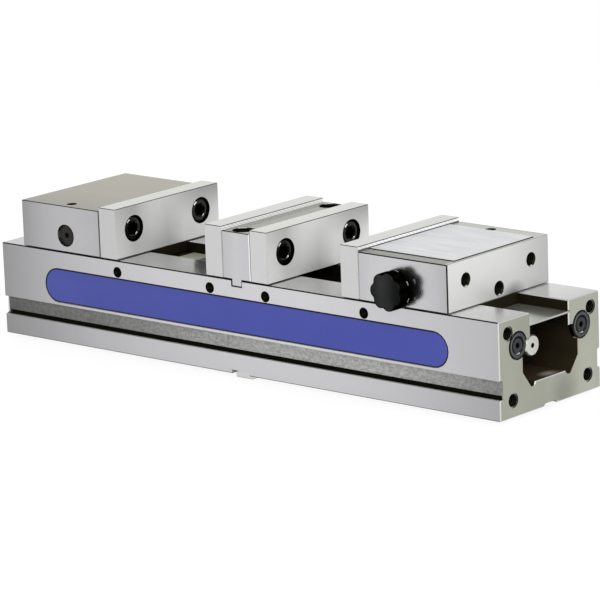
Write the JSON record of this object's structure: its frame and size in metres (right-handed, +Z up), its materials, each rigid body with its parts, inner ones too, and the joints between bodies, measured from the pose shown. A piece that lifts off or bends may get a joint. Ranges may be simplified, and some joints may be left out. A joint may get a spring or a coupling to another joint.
{
  "type": "double station milling vise",
  "caption": "Long steel milling vise: a fixed centre jaw between two sliding jaws on one bed, drawn in by a leadscrew, with a brake knob.",
  "frame": {"origin": "middle of the bed's underside, below the centre jaw, on the plane of the machine table", "axes": "+X along the bed towards the open end without the drive hexagon, +Y towards the rear side, +Z up"},
  "size_m": [0.4324, 0.1159, 0.1012],
  "materials": {
    "ground_steel": "ground, light grey",
    "hardened_steel": "dark satin",
    "black_oxide": "black oxide",
    "ductile_iron": "dark machined iron",
    "black_plastic": "fine grained",
    "label_blue": "satin print",
    "bronze": "turned"
  },
  "bodies": {
    "bed": {"bed": "ground_steel", "nameplate": "label_blue", "left_chip_cover": "ground_steel", "right_chip_cover": "ground_steel", "left_stop_disc_front": "hardened_steel", "left_stop_disc_rear": "hardened_steel", "right_stop_disc_front": "hardened_steel", "right_stop_disc_rear": "hardened_steel", "left_stop_screw_front": "black_oxide", "left_stop_screw_rear": "black_oxide", "right_stop_screw_front": "black_oxide", "right_stop_screw_rear": "black_oxide", "locating_key_front": "ground_steel", "locating_key_rear": "ground_steel", "key_screw_front": "black_oxide", "key_screw_rear": "black_oxide", "centre_jaw_block": "ground_steel", "centre_left_plate": "ground_steel", "centre_right_plate": "ground_steel", "centre_left_screw_front": "black_oxide", "centre_left_screw_rear": "black_oxide", "centre_right_screw_front": "black_oxide", "centre_right_screw_rear": "black_oxide", "centre_bolt_front": "black_oxide", "centre_bolt_rear": "black_oxide", "screw_bearing_block": "ductile_iron", "bearing_bolt_front": "black_oxide", "bearing_bolt_rear": "black_oxide", "left_thrust_washer": "bronze", "right_thrust_washer": "bronze"},
    "leadscrew": {"leadscrew": "ground_steel", "left_screw_collar": "black_oxide", "right_screw_collar": "black_oxide"},
    "left_jaw": {"left_jaw_block": "ground_steel", "left_jaw_plate": "ground_steel", "left_plate_screw_front": "black_oxide", "left_plate_screw_rear": "black_oxide", "left_jaw_plug_front": "black_oxide", "left_jaw_plug_rear": "black_oxide", "left_nut": "ductile_iron", "left_half_ball": "hardened_steel", "left_adjusting_screw": "black_oxide"},
    "right_jaw": {"right_jaw_block": "ground_steel", "right_jaw_plate": "ground_steel", "right_plate_screw_front": "black_oxide", "right_plate_screw_rear": "black_oxide", "right_jaw_plug_rear": "black_oxide", "right_nut": "ductile_iron", "right_half_ball": "hardened_steel", "right_adjusting_screw": "black_oxide"},
    "brake_knob": {"brake_knob": "black_plastic", "brake_stud": "black_oxide"},
    "brake_shoe": {"brake_shoe": "bronze"}
  },
  "joints": [
    {"name": "left_jaw_slide", "type": "slide", "parent": "bed", "child": "left_jaw", "axis": [1, 0, 0], "range_m": [-0.0097, 0.0805]},
    {"name": "right_jaw_slide", "type": "slide", "parent": "bed", "child": "right_jaw", "axis": [-1, 0, 0], "range_m": [-0.0282, 0.062]},
    {"name": "leadscrew_turn", "type": "hinge", "parent": "bed", "child": "leadscrew", "pos_m": [0, 0, 0.0364], "axis": [1, 0, 0], "range_deg": [-720, 5832]},
    {"name": "brake_knob_turn", "type": "hinge", "parent": "right_jaw", "child": "brake_knob", "pos_m": [0.1357, -0.0516, 0.0752], "axis": [0, 1, 0], "range_deg": [0, 72]},
    {"name": "brake_shoe_slide", "type": "slide", "parent": "right_jaw", "child": "brake_shoe", "axis": [0, 0, -1], "range_m": [0, 0.00031]}
  ],
  "couplings": [
    {"joint": "leadscrew_turn", "follows": "left_jaw_slide", "rad_per_m": 1256.6},
    {"joint": "brake_shoe_slide", "follows": "brake_knob_turn", "m_per_rad": 0.00023873}
  ]
}
